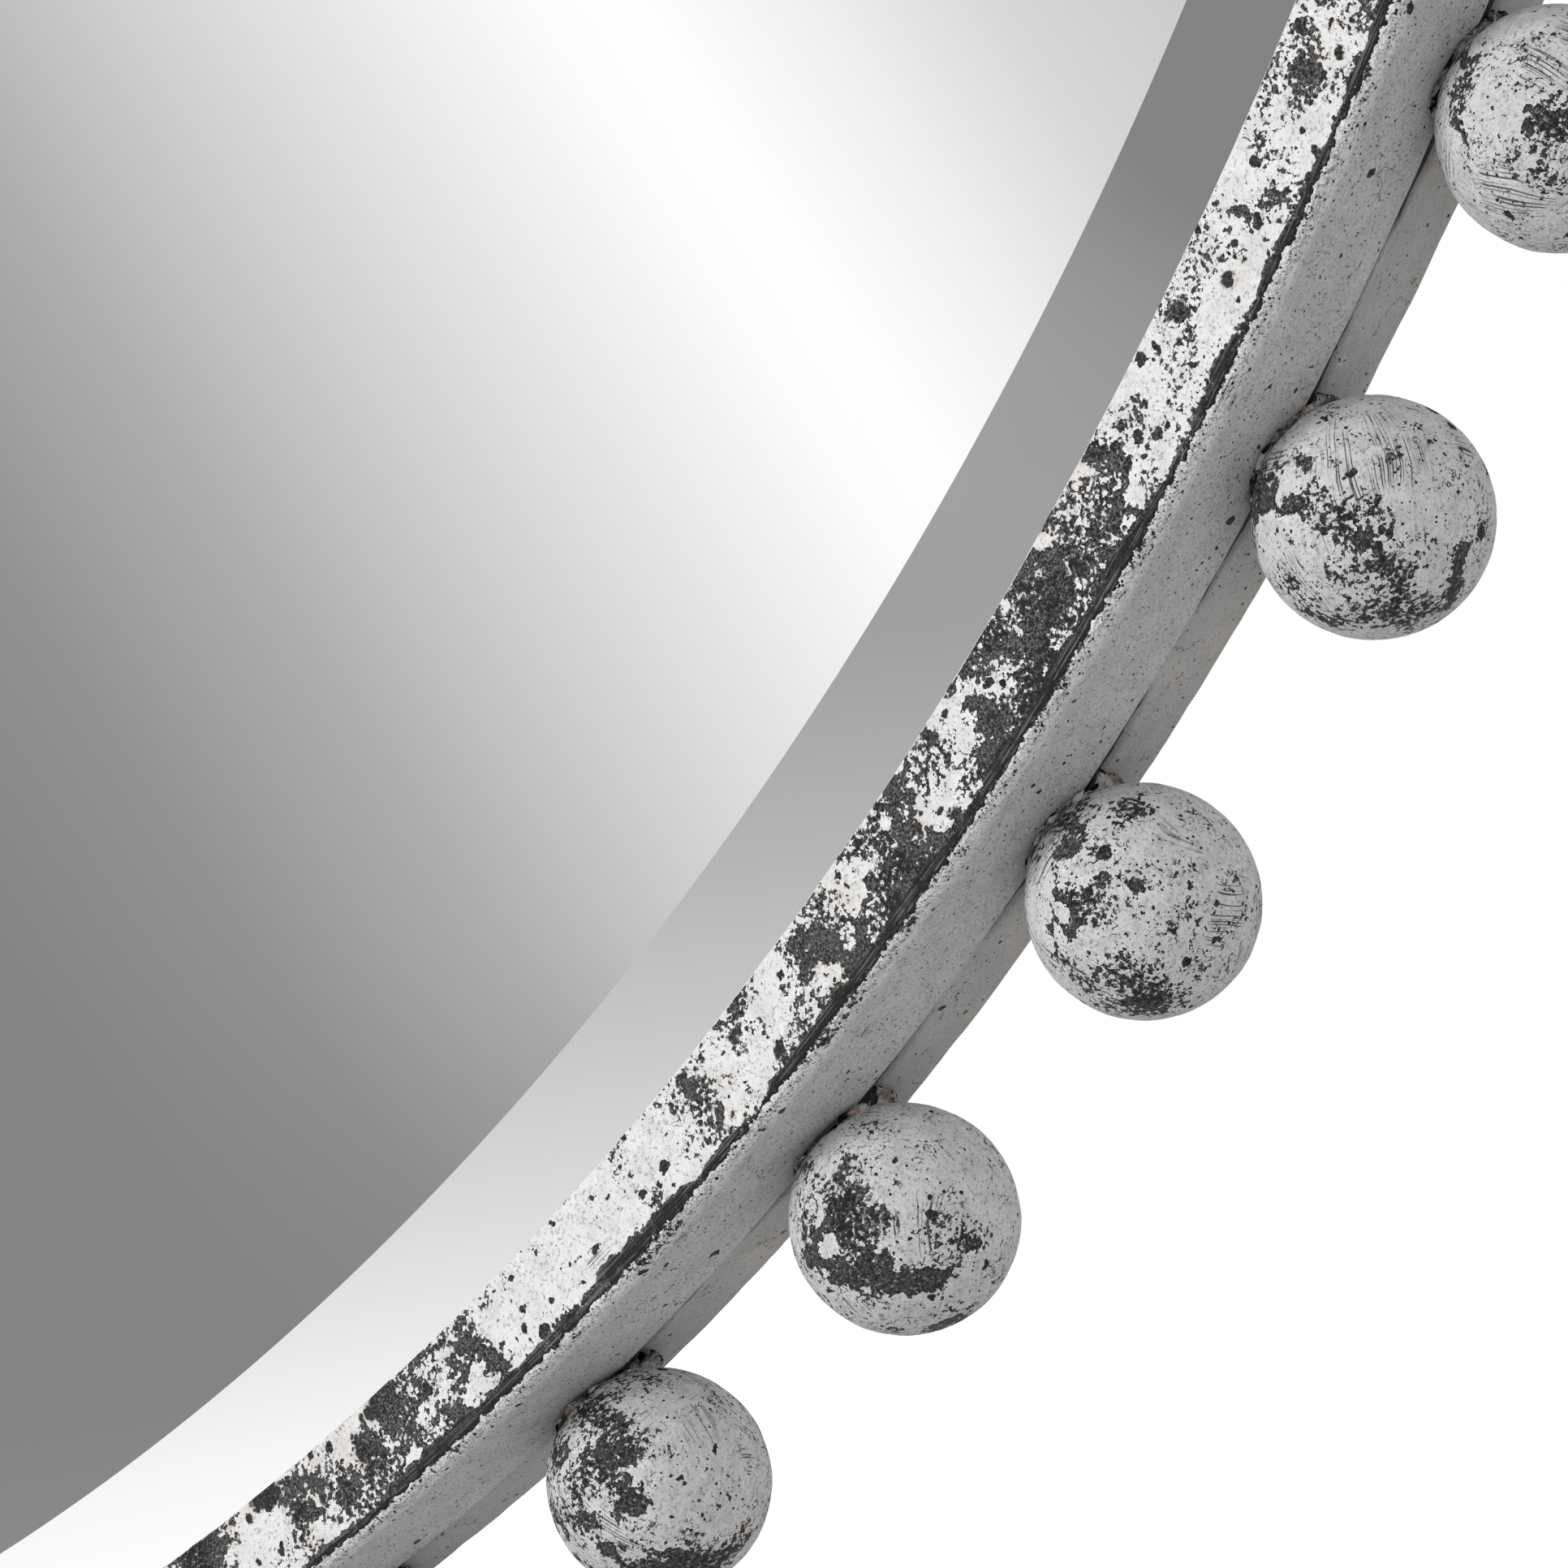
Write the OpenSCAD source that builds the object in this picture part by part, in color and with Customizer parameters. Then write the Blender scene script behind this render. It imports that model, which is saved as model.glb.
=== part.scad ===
// Round wall mirror in a forged iron frame with a row of iron balls round it.
// The mirror faces -Y and hangs with +Z up. The origin is the point on the wall behind its centre.
// Sizes are in millimetres. A depth is measured back from the front face of the frame.

/* [Iron frame] */
// Outer diameter of the front ring
frame_d = 867; // [600:1:1200]
// Width of the flat face that shows from the front
face_w = 12.5; // [9:0.5:30]
// Thickness of the face, which laps over the edge of the glass
lip_t = 2; // [1:0.25:4]
// Thickness of the front ring's side wall
side_t = 3.5; // [2.5:0.25:5]
// Depth of the front ring, from its face to the seam
front_depth = 15; // [13:0.5:30]
// Radius of the rounded outer corner of the face
corner_r = 1.8; // [0.5:0.1:2]
// Radius of the broken edges of both rings
edge_r = 0.6; // [0.2:0.1:0.8]
// How far the rear hoop is set in from the outside of the front ring
hoop_step = 1.5; // [0.5:0.1:2]
// Thickness of the flat bar that the rear hoop is rolled from
hoop_t = 3; // [2:0.25:5]
// Depth of the rear hoop, from the seam to its rear edge
hoop_depth = 11.5; // [10:0.5:30]

/* [Balls] */
// Diameter of one ball
ball_d = 25; // [16:0.5:32]
// Number of balls round the frame
ball_count = 60; // [24:1:66]
// Depth of the balls' centres behind the face
ball_depth = 17.5; // [16:0.25:24]
// Largest error of a ball that was placed by hand, in degrees round the frame
ball_error_angle = 0.22; // [0:0.01:0.4]
// Seed of the random numbers for those errors
ball_seed = 17269; // [1:1:60000]
// Radius of the weld that holds a ball, where it meets the hoop
weld_r = 5.5; // [3:0.25:7]

/* [Mirror glass] */
// Thickness of the glass
glass_t = 5; // [4:0.5:6]
// Width of the bevel that is ground on the glass
bevel_w = 19; // [14:0.5:40]
// Depth of the bevel at the edge of the glass
bevel_drop = 2.1; // [1:0.1:3]
// Gap between the edge of the glass and the inside of the hoop
glass_gap = 1; // [0.5:0.1:3]

/* [Back] */
// Thickness of the foam sheet behind the glass
foam_t = 2; // [1:0.5:4]
// Gap between the edge of the foam sheet and the edge of the board
foam_inset = 8; // [2:1:40]
// Thickness of the backing board
board_t = 9; // [8.5:0.5:12]
// Gap between the edge of the board and the inside of the hoop
board_gap = 1.5; // [0.5:0.1:3]
// Gap between the balls and the wall
wall_gap = 1; // [0.5:0.25:10]

/* [Retaining clips] */
// Number of clips round the board
clip_count = 8; // [4:1:12]
// Width of a clip
clip_w = 14; // [10:1:24]
// Thickness of the clip's sheet
clip_t = 1.2; // [0.8:0.1:2]
// Length of the foot that lies on the board
clip_foot = 20; // [18:1:30]
// Height of the leg that is welded to the hoop
clip_leg = 8; // [4:0.5:8.5]

/* [Ring hangers] */
// Distance between the two hangers
hanger_spacing = 460; // [200:10:560]
// Height of the hanger's eye above the centre of the mirror
hanger_rise = 170; // [60:10:200]
// Width of the hanger's strap
strap_w = 16; // [12:0.5:18]
// Thickness of the strap
strap_t = 1.2; // [1:0.1:2]
// Distance from the eye to the first screw
strap_first_hole = 27; // [26:1:40]
// Distance between the strap's two screws
strap_hole_pitch = 13; // [10:1:30]
// Diameter of the ring's wire
wire_d = 3; // [2:0.1:3.5]
// Clear width inside the ring
ring_inside_w = 20; // [20:0.5:24]
// Straight length of the ring's sides
ring_side = 4; // [1:0.5:5]
// Radius of the bend at the ring's corners, on the wire's centre line
ring_bend_r = 3; // [2.2:0.1:3]

/* [Wall bumpers] */
// Diameter of a rubber bumper where it meets the wall
bumper_d = 20; // [18:1:30]
// How much wider a bumper is at the board
bumper_flare = 3; // [0:0.5:6]
// Distance of the bumpers' centres from the edge of the board
bumper_inset = 67.5; // [58:0.5:100]
// Angle of the bumpers above and below the horizontal
bumper_angle = 35; // [20:1:60]
// Thickness of rubber under the washer
bumper_floor = 3; // [2:0.5:3.5]
// Diameter of the steel washer in a bumper
washer_d = 9; // [8.5:0.5:11]
// Thickness of the washer
washer_t = 1; // [0.5:0.1:1.5]

/* [Screws] */
// Diameter of the screws' shanks
screw_d = 3.5; // [3:0.1:4]
// Diameter of their pan heads
screw_head_d = 7; // [6:0.1:7.5]
// Height of the heads
screw_head_h = 2.2; // [1.8:0.1:2.4]
// Length of the shanks
screw_l = 8.5; // [7:0.5:8.5]

/* [Clearances] */
// Gap between the glass and the lip
glass_seat_gap = 0.1; // [0.05:0.05:0.3]
// Gap round a shank in the hole of a clip, strap or washer
screw_hole_gap = 0.25; // [0.1:0.05:0.4]
// Gap all round the wire inside the hanger's eye
eye_gap = 0.08; // [0.05:0.01:0.1]
// Gap between the hanging ring and the strap
ring_strap_gap = 0.4; // [0.3:0.1:1]
// Gap between the washer and the wall of its recess
washer_gap = 0.1; // [0.05:0.05:0.3]

/* [Hidden] */
$fn = 64;
ring_fn = 360;

// Radii round the mirror's axis
front_r = frame_d / 2;
face_r = front_r - face_w;
side_r = front_r - side_t;
hoop_r = front_r - hoop_step;
hoop_in_r = hoop_r - hoop_t;
ball_ring_r = hoop_r + ball_d / 2;
glass_r = hoop_in_r - glass_gap;
board_r = hoop_in_r - board_gap;
foam_r = board_r - foam_inset;
bevel_r = glass_r - bevel_w;

// Heights above the wall
total_depth = ball_depth + ball_d / 2 + wall_gap;
seam_h = total_depth - front_depth;
hoop_back_h = seam_h - hoop_depth;
ball_h = total_depth - ball_depth;
lip_back_h = total_depth - lip_t;
bevel_slope = bevel_drop / bevel_w;
glass_front_h = lip_back_h - glass_seat_gap + bevel_slope * (face_r - bevel_r);
glass_back_h = glass_front_h - glass_t;
foam_back_h = glass_back_h - foam_t;
board_back_h = foam_back_h - board_t;

// A screw's parts, and how deep its pilot hole goes below what it clamps
screw_r = screw_d / 2;
screw_tip = 1.5;
screw_rim = screw_head_h * 0.55;
screw_crown_r = screw_head_d * 0.3;
recess_l = screw_head_d * 0.55;
recess_w = 0.9;
recess_depth = screw_head_h * 0.55;
clamped_hole_r = screw_r + screw_hole_gap;
clip_pilot = screw_l - clip_t;
strap_pilot = screw_l - strap_t;
bumper_pilot = screw_l - bumper_floor - washer_t;

// The welds' other sizes
weld_h = 1.8;
weld_root = 0.8;
weld_taper = 1.6;

// Clips
clip_turn = 360 / clip_count;
clip_start = clip_turn / 2;
clip_hole_r = board_r - clip_foot / 2;

// Hangers
wire_r = wire_d / 2;
ring_half_w = ring_inside_w / 2 + wire_r;
eye_bore_r = wire_r + eye_gap;
eye_out_r = eye_bore_r + strap_t;
eye_h = strap_t + wire_r + ring_strap_gap;
strap_l = strap_first_hole + strap_hole_pitch;

// Bumpers
bumper_h = board_back_h;
bumper_ring_r = board_r - bumper_inset;
recess_r = washer_d / 2 + washer_gap;
bumper_spots = [
    for (turn = [bumper_angle, 180 - bumper_angle, 180 + bumper_angle, 360 - bumper_angle])
        [bumper_ring_r * cos(turn), bumper_ring_r * sin(turn)]
];

// The balls, counted clockwise from the top as seen from the front
hour_angle = 30;
ball_step = 360 / ball_count;
ball_errors = rands(-ball_error_angle, ball_error_angle, ball_count, ball_seed);

white_iron = [0.84, 0.84, 0.85];
grey_iron = [0.62, 0.62, 0.61];
ball_iron = [0.70, 0.70, 0.71];
silver_glass = [0.70, 0.73, 0.74];
grey_foam = [0.35, 0.35, 0.37];
black_board = [0.10, 0.10, 0.10];
bare_steel = [0.60, 0.61, 0.63];
nickel_plate = [0.75, 0.74, 0.70];
black_rubber = [0.07, 0.07, 0.07];

// Everything is modelled face up over the wall, which is the plane z = 0, and then stood up.
module hung() rotate([90, 0, 0]) children();

// The back of the board at one spot, with +z away from the board.
module on_board_back(spot)
    translate([spot[0], spot[1], board_back_h]) mirror([0, 0, 1]) children();

// What a square corner loses when it is rounded. The corner is at the origin and points to +x +y.
module corner_waste(r)
    translate([-r, -r]) difference() {
        square(2 * r);
        circle(r);
    }

module front_profile()
    difference() {
        union() {
            translate([face_r, lip_back_h]) square([face_w, lip_t]);
            translate([side_r, seam_h]) square([side_t, front_depth]);
        }
        translate([front_r, total_depth]) corner_waste(corner_r);
        translate([face_r, total_depth]) mirror([1, 0]) corner_waste(edge_r);
        translate([front_r, seam_h]) mirror([0, 1]) corner_waste(edge_r);
    }

module hoop_profile()
    difference() {
        translate([hoop_in_r, hoop_back_h]) square([hoop_t, hoop_depth]);
        translate([hoop_r, hoop_back_h]) mirror([0, 1]) corner_waste(edge_r);
        translate([hoop_in_r, hoop_back_h]) rotate(180) corner_waste(edge_r);
    }

module front_ring()
    color(white_iron) hung() rotate_extrude($fn = ring_fn) front_profile();

module rear_hoop()
    color(grey_iron) hung() rotate_extrude($fn = ring_fn) hoop_profile();

// One ball at the end of its radius, with the collar of weld metal towards the hoop.
module welded_ball() {
    translate([ball_ring_r, 0, ball_h]) sphere(ball_d / 2);
    translate([hoop_r - weld_root, 0, ball_h]) rotate([0, 90, 0])
        cylinder(h = weld_h + weld_root, r1 = weld_r + weld_root, r2 = weld_r - weld_taper);
}

// The balls between one hour of a clock face and the next.
module balls_of_hour(hour)
    color(ball_iron) hung() difference() {
        for (i = [0 : ball_count - 1]) {
            clock_turn = (i + 0.5) * ball_step;
            if (floor(clock_turn / hour_angle) == hour)
                rotate(90 - clock_turn - ball_errors[i]) welded_ball();
        }
        rotate_extrude($fn = ring_fn) front_profile();
        rotate_extrude($fn = ring_fn) hoop_profile();
    }

module mirror_glass()
    color(silver_glass) hung() rotate_extrude($fn = ring_fn) polygon([
        [0, glass_back_h], [glass_r, glass_back_h], [glass_r, glass_front_h - bevel_drop],
        [bevel_r, glass_front_h], [0, glass_front_h]
    ]);

module foam_sheet()
    color(grey_foam) hung() translate([0, 0, foam_back_h]) cylinder(h = foam_t, r = foam_r, $fn = ring_fn);

// A blind pilot hole in the board, as wide as the screw's shank.
module pilot_hole(depth) translate([0, 0, -depth]) cylinder(h = depth, r = screw_r);

module backing_board()
    color(black_board) hung() difference() {
        translate([0, 0, board_back_h]) cylinder(h = board_t, r = board_r, $fn = ring_fn);
        for (i = [0 : clip_count - 1]) on_board_back(clip_spot(i)) pilot_hole(clip_pilot);
        for (side = [-1, 1]) {
            for (hole = [0, 1]) on_board_back(strap_spot(side, hole)) pilot_hole(strap_pilot);
        }
        for (spot = bumper_spots) on_board_back(spot) pilot_hole(bumper_pilot);
    }

// A pan-head screw with a cross recess. The underside of its head is at z = 0.
module screw()
    difference() {
        union() {
            cylinder(h = screw_rim, r = screw_head_d / 2);
            translate([0, 0, screw_rim])
                cylinder(h = screw_head_h - screw_rim, r1 = screw_head_d / 2, r2 = screw_crown_r);
            translate([0, 0, screw_tip - screw_l]) cylinder(h = screw_l - screw_tip, r = screw_r);
            translate([0, 0, -screw_l]) cylinder(h = screw_tip, r1 = screw_r / 4, r2 = screw_r);
        }
        for (turn = [0, 90]) rotate(turn)
            translate([-recess_l / 2, -recess_w / 2, screw_head_h - recess_depth])
                cube([recess_l, recess_w, screw_head_h]);
    }

function clip_spot(i) = [
    clip_hole_r * cos(clip_start + i * clip_turn),
    clip_hole_r * sin(clip_start + i * clip_turn)
];

// Bent tabs: the leg is welded to the inside of the hoop, and the foot holds the board down.
module retaining_clips()
    color(bare_steel) hung() for (i = [0 : clip_count - 1])
        rotate(clip_start + i * clip_turn) on_board_back([0, 0]) difference() {
            intersection() {
                union() {
                    translate([board_r - clip_foot, -clip_w / 2, 0]) cube([hoop_t + clip_foot, clip_w, clip_t]);
                    translate([hoop_in_r - clip_t, -clip_w / 2, 0]) cube([hoop_t, clip_w, clip_leg]);
                }
                cylinder(h = 2 * clip_leg, r = hoop_in_r, center = true, $fn = ring_fn);
            }
            translate([clip_hole_r, 0, 0]) cylinder(h = 4 * clip_t, r = clamped_hole_r, center = true);
        }

module clip_screws()
    color(bare_steel) hung() for (i = [0 : clip_count - 1])
        on_board_back(clip_spot(i)) translate([0, 0, clip_t]) screw();

// side is -1 for the left hanger and 1 for the right one, as seen from the front.
function eye_spot(side) = [side * hanger_spacing / 2, hanger_rise];
function strap_spot(side, hole) =
    [eye_spot(side)[0], eye_spot(side)[1] - strap_first_hole - hole * strap_hole_pitch];

// A strip folded round the ring's straight side, with two screw holes below it.
module hanger_strap(side)
    color(nickel_plate) hung() on_board_back(eye_spot(side)) difference() {
        union() {
            translate([-strap_w / 2, -strap_l, 0]) cube([strap_w, strap_l, strap_t]);
            translate([0, -strap_l, 0]) cylinder(h = strap_t, r = strap_w / 2);
            translate([0, 0, eye_h]) rotate([0, 90, 0]) cylinder(h = strap_w, r = eye_out_r, center = true);
        }
        translate([0, 0, eye_h]) rotate([0, 90, 0]) cylinder(h = 2 * strap_w, r = eye_bore_r, center = true);
        for (hole = [0, 1]) translate([0, -strap_first_hole - hole * strap_hole_pitch, 0])
            cylinder(h = 4 * strap_t, r = clamped_hole_r, center = true);
    }

// A bow of wire in the shape of a D, hanging from its straight side.
module hanger_ring(side)
    color(nickel_plate) hung() on_board_back(eye_spot(side)) translate([0, 0, eye_h]) {
        straight = 2 * (ring_half_w - ring_bend_r);
        rotate([0, 90, 0]) cylinder(h = straight, r = wire_r, center = true);
        for (flip = [0, 1]) mirror([flip, 0, 0]) {
            translate([ring_half_w - ring_bend_r, -ring_bend_r, 0])
                rotate_extrude(angle = 90) translate([ring_bend_r, 0]) circle(wire_r);
            translate([ring_half_w, -ring_bend_r, 0]) rotate([90, 0, 0]) cylinder(h = ring_side, r = wire_r);
        }
        translate([0, -ring_bend_r - ring_side, 0]) rotate(180)
            rotate_extrude(angle = 180) translate([ring_half_w, 0]) circle(wire_r);
    }

module hanger_screws()
    color(nickel_plate) hung() for (side = [-1, 1]) {
        for (hole = [0, 1])
            on_board_back(strap_spot(side, hole)) translate([0, 0, strap_t]) screw();
    }

module bumper(index)
    color(black_rubber) hung() on_board_back(bumper_spots[index]) difference() {
        cylinder(h = bumper_h, r1 = bumper_d / 2 + bumper_flare / 2, r2 = bumper_d / 2);
        cylinder(h = 4 * bumper_floor, r = clamped_hole_r, center = true);
        translate([0, 0, bumper_floor]) cylinder(h = bumper_h, r = recess_r);
    }

module bumper_washers()
    color(bare_steel) hung() for (spot = bumper_spots)
        on_board_back(spot) translate([0, 0, bumper_floor]) difference() {
            cylinder(h = washer_t, r = washer_d / 2);
            cylinder(h = 4 * washer_t, r = clamped_hole_r, center = true);
        }

module bumper_screws()
    color(bare_steel) hung() for (spot = bumper_spots)
        on_board_back(spot) translate([0, 0, bumper_floor + washer_t]) screw();

front_ring();
rear_hoop();
balls_of_hour(0);  // balls_12_to_1
balls_of_hour(1);  // balls_1_to_2
balls_of_hour(2);  // balls_2_to_3
balls_of_hour(3);  // balls_3_to_4
balls_of_hour(4);  // balls_4_to_5
balls_of_hour(5);  // balls_5_to_6
balls_of_hour(6);  // balls_6_to_7
balls_of_hour(7);  // balls_7_to_8
balls_of_hour(8);  // balls_8_to_9
balls_of_hour(9);  // balls_9_to_10
balls_of_hour(10);  // balls_10_to_11
balls_of_hour(11);  // balls_11_to_12
mirror_glass();
foam_sheet();
backing_board();
retaining_clips();
clip_screws();
hanger_strap(-1);  // left_hanger_strap
hanger_strap(1);  // right_hanger_strap
hanger_ring(-1);  // left_hanger_ring
hanger_ring(1);  // right_hanger_ring
hanger_screws();
bumper(0);  // bumper_upper_right
bumper(1);  // bumper_upper_left
bumper(2);  // bumper_lower_left
bumper(3);  // bumper_lower_right
bumper_washers();
bumper_screws();
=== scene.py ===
import math

import bmesh
import bpy
from mathutils import Matrix, Vector


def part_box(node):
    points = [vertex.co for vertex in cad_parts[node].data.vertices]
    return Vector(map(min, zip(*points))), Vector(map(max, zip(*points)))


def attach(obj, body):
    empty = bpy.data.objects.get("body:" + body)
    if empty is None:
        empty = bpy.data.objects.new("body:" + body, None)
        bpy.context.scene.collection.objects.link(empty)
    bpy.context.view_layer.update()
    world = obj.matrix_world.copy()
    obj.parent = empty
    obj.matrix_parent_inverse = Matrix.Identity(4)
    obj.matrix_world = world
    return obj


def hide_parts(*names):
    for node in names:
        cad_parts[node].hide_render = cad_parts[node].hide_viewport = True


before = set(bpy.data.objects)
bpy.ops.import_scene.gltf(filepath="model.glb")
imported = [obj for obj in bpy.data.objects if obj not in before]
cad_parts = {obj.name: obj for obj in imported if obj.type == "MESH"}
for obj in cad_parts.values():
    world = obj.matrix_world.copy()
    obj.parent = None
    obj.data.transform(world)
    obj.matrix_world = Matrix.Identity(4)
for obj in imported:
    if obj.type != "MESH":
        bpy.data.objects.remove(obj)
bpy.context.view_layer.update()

# Round wall mirror: a worn white iron ring, a set-in rear hoop, sixty welded balls and a bevelled glass.
# Metres, in the part's own frame: the mirror faces -Y, hangs with +Z up, and the wall is the plane y = 0.

scene = bpy.context.scene
mm = 0.001


def outerRadius(node):
    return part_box(node)[1].x


def frontOf(node):
    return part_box(node)[0].y


def backOf(node):
    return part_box(node)[1].y


frameRadius = outerRadius("front_ring")
faceY = frontOf("front_ring")
seamY = backOf("front_ring")
hoopRadius = outerRadius("rear_hoop")
hoopBackY = backOf("rear_hoop")
glassRadius = outerRadius("mirror_glass")
glassFrontY = frontOf("mirror_glass")
glassBackY = backOf("mirror_glass")
ballStep = 6.0
ballRadius = 12.5 * mm
ballY = faceY + 17.5 * mm
fillerLength = 22 * mm
frontRingSize = {
    "faceWidth": 12.5 * mm, "lip": 2.0 * mm, "wall": 3.5 * mm, "corner": 1.8 * mm, "edge": 0.6 * mm,
    "spacing": 1.15 * mm, "steps": 1600, "sideMask": 1.5 * mm, "faceMask": 0.9 * mm,
    "waveHeight": 0.35 * mm, "waveLength": 38 * mm, "dentHeight": 0.22 * mm, "dentLength": 5 * mm,
    "grainHeight": 0.10 * mm, "grainLength": 1.8 * mm,
}
print("frame read: ring", round(frameRadius / mm, 1), "mm, face at", round(faceY / mm, 1), "mm")


# Node maths. A wire is an output in a node tree, and wires add, subtract, multiply and divide like numbers.
class Wire:
    def __init__(self, socket):
        self.socket = socket
        self.tree = socket.id_data

    def __add__(self, other):
        return calc("ADD", self, other)

    def __sub__(self, other):
        return calc("SUBTRACT", self, other)

    def __rsub__(self, other):
        return calc("SUBTRACT", other, self)

    def __mul__(self, other):
        return calc("MULTIPLY", self, other)

    def __truediv__(self, other):
        return calc("DIVIDE", self, other)

    def __rtruediv__(self, other):
        return calc("DIVIDE", other, self)


def feed(socket, value):
    if isinstance(value, Wire):
        value.tree.links.new(value.socket, socket)
    elif value is not None:
        socket.default_value = value


def nodeFor(kind, values):
    # A new node in the tree that the values come from.
    tree = next(value.tree for value in values if isinstance(value, Wire))
    return tree.nodes.new("ShaderNode" + kind)


def calc(operation, *values):
    node = nodeFor("Math", values)
    node.operation = operation
    for socket, value in zip(node.inputs, values):
        feed(socket, value)
    return Wire(node.outputs[0])


def larger(first, second):
    return calc("MAXIMUM", first, second)


def vectorCalc(operation, first, second=None, scale=None):
    node = nodeFor("VectorMath", (first, second, scale))
    node.operation = operation
    feed(node.inputs[0], first)
    feed(node.inputs[1], second)
    feed(node.inputs[3], scale)
    return Wire(node.outputs["Value" if operation == "LENGTH" else "Vector"])


def scaled(vector, factor):
    return vectorCalc("SCALE", vector, scale=factor)


def split(vector):
    node = nodeFor("SeparateXYZ", [vector])
    feed(node.inputs[0], vector)
    return [Wire(socket) for socket in node.outputs]


def combine(*parts):
    node = nodeFor("CombineXYZ", parts)
    for socket, part in zip(node.inputs, parts):
        feed(socket, part)
    return Wire(node.outputs[0])


def fade(value, start, end):
    # From 0 at start to 1 at end, which may be the lower of the two.
    node = nodeFor("MapRange", [value])
    node.interpolation_type = "SMOOTHSTEP"
    for socket, number in zip(node.inputs, (value, start, end, 0.0, 1.0)):
        feed(socket, number)
    return Wire(node.outputs["Result"])


def noise(position, size, detail=4.0, roughness=0.5, output=0):
    node = nodeFor("TexNoise", [position])
    feed(node.inputs["Vector"], position)
    feed(node.inputs["Scale"], 1.0 / size)
    feed(node.inputs["Detail"], detail)
    feed(node.inputs["Roughness"], roughness)
    return Wire(node.outputs[output])


def mixColour(amount, first, second):
    node = nodeFor("Mix", (amount, first, second))
    node.data_type = "RGBA"
    for index, value in ((0, amount), (6, first), (7, second)):
        feed(node.inputs[index], value)
    return Wire(node.outputs[2])


def mixValue(amount, first, second):
    node = nodeFor("Mix", (amount, first, second))
    for index, value in ((0, amount), (2, first), (3, second)):
        feed(node.inputs[index], value)
    return Wire(node.outputs[0])


def layered(colour, layers):
    for amount, over in layers:
        colour = mixColour(amount, colour, over)
    return colour


def constant(near, number):
    # A fixed value as a wire, in the tree of another wire.
    node = nodeFor("Value", [near])
    node.outputs[0].default_value = number
    return Wire(node.outputs[0])


def grey(level, warmth=0.0):
    return (level * (1 + warmth), level, level * (1 - warmth), 1.0)


def newGroup(name, kind, takes, gives):
    # takes holds each input's start value, or in its place the kind of socket where it has none.
    tree = bpy.data.node_groups.new(name, kind)
    for label, start in takes.items():
        if isinstance(start, str):
            tree.interface.new_socket(label, in_out="INPUT", socket_type="NodeSocket" + start)
            continue
        numberType = "Int" if isinstance(start, int) else "Float"
        socket = tree.interface.new_socket(label, in_out="INPUT", socket_type="NodeSocket" + numberType)
        socket.default_value = start
    outputType = "Geometry" if kind == "GeometryNodeTree" else "Float"
    for label in gives:
        tree.interface.new_socket(label, in_out="OUTPUT", socket_type="NodeSocket" + outputType)
    sockets = tree.nodes.new("NodeGroupInput").outputs
    given = {socket.name: Wire(socket) for socket in sockets if socket.name}
    return tree, given, tree.nodes.new("NodeGroupOutput").inputs


def useGroup(group, **values):
    node = nodeFor("Group", values.values())
    node.node_tree = group
    for label, value in values.items():
        feed(node.inputs[label], value)
    return {socket.name: Wire(socket) for socket in node.outputs}


# Shared effects. Positions and sizes inside the materials are in millimetres.
# A field is (size, detail, roughness). A kind of pit is (cell, smallest, largest), the last two in cells.
paintFields = {
    "push": (2.4, 3.0, 0.6), "middle": (1.9, 3.0, 0.62), "fine": (0.55, 2.0, 0.6), "crumbs": (4.6, 2.0, 0.5),
    "cluster": (7.5, 2.0, 0.5), "ridge": (0.7, 1.0, 0.5), "flecks": (0.8, 1.0, 0.5), "worms": (4.5, 3.0, 0.6),
}
pitKinds = {
    "pits": (2.4, 0.14, 0.36), "specks": (0.95, 0.10, 0.27), "blots": (8.5, 0.09, 0.36),
    "dots": (0.50, 0.15, 0.32), "flaws": (46.0, 0.002, 0.006),
}


def pitLayer(position, kind, share, ragged):
    # Gives the round pits themselves, and the pits with their rims.
    cell, smallest, largest = pitKinds[kind]
    cells = nodeFor("TexVoronoi", [position])
    feed(cells.inputs["Vector"], position)
    feed(cells.inputs["Scale"], 1.0 / cell)
    chance = split(Wire(cells.outputs["Color"]))
    reach = calc("POWER", chance[0], 3.0) * (largest - smallest) + smallest
    inside = reach - (Wire(cells.outputs["Distance"]) + ragged)
    present = calc("LESS_THAN", chance[1], share)
    return fade(inside, -0.02, 0.03) * present, fade(inside, -0.07, -0.02) * present


def around(value):
    return value - 0.5


def divided(position, size):
    return scaled(position, 1.0 / size)


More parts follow.
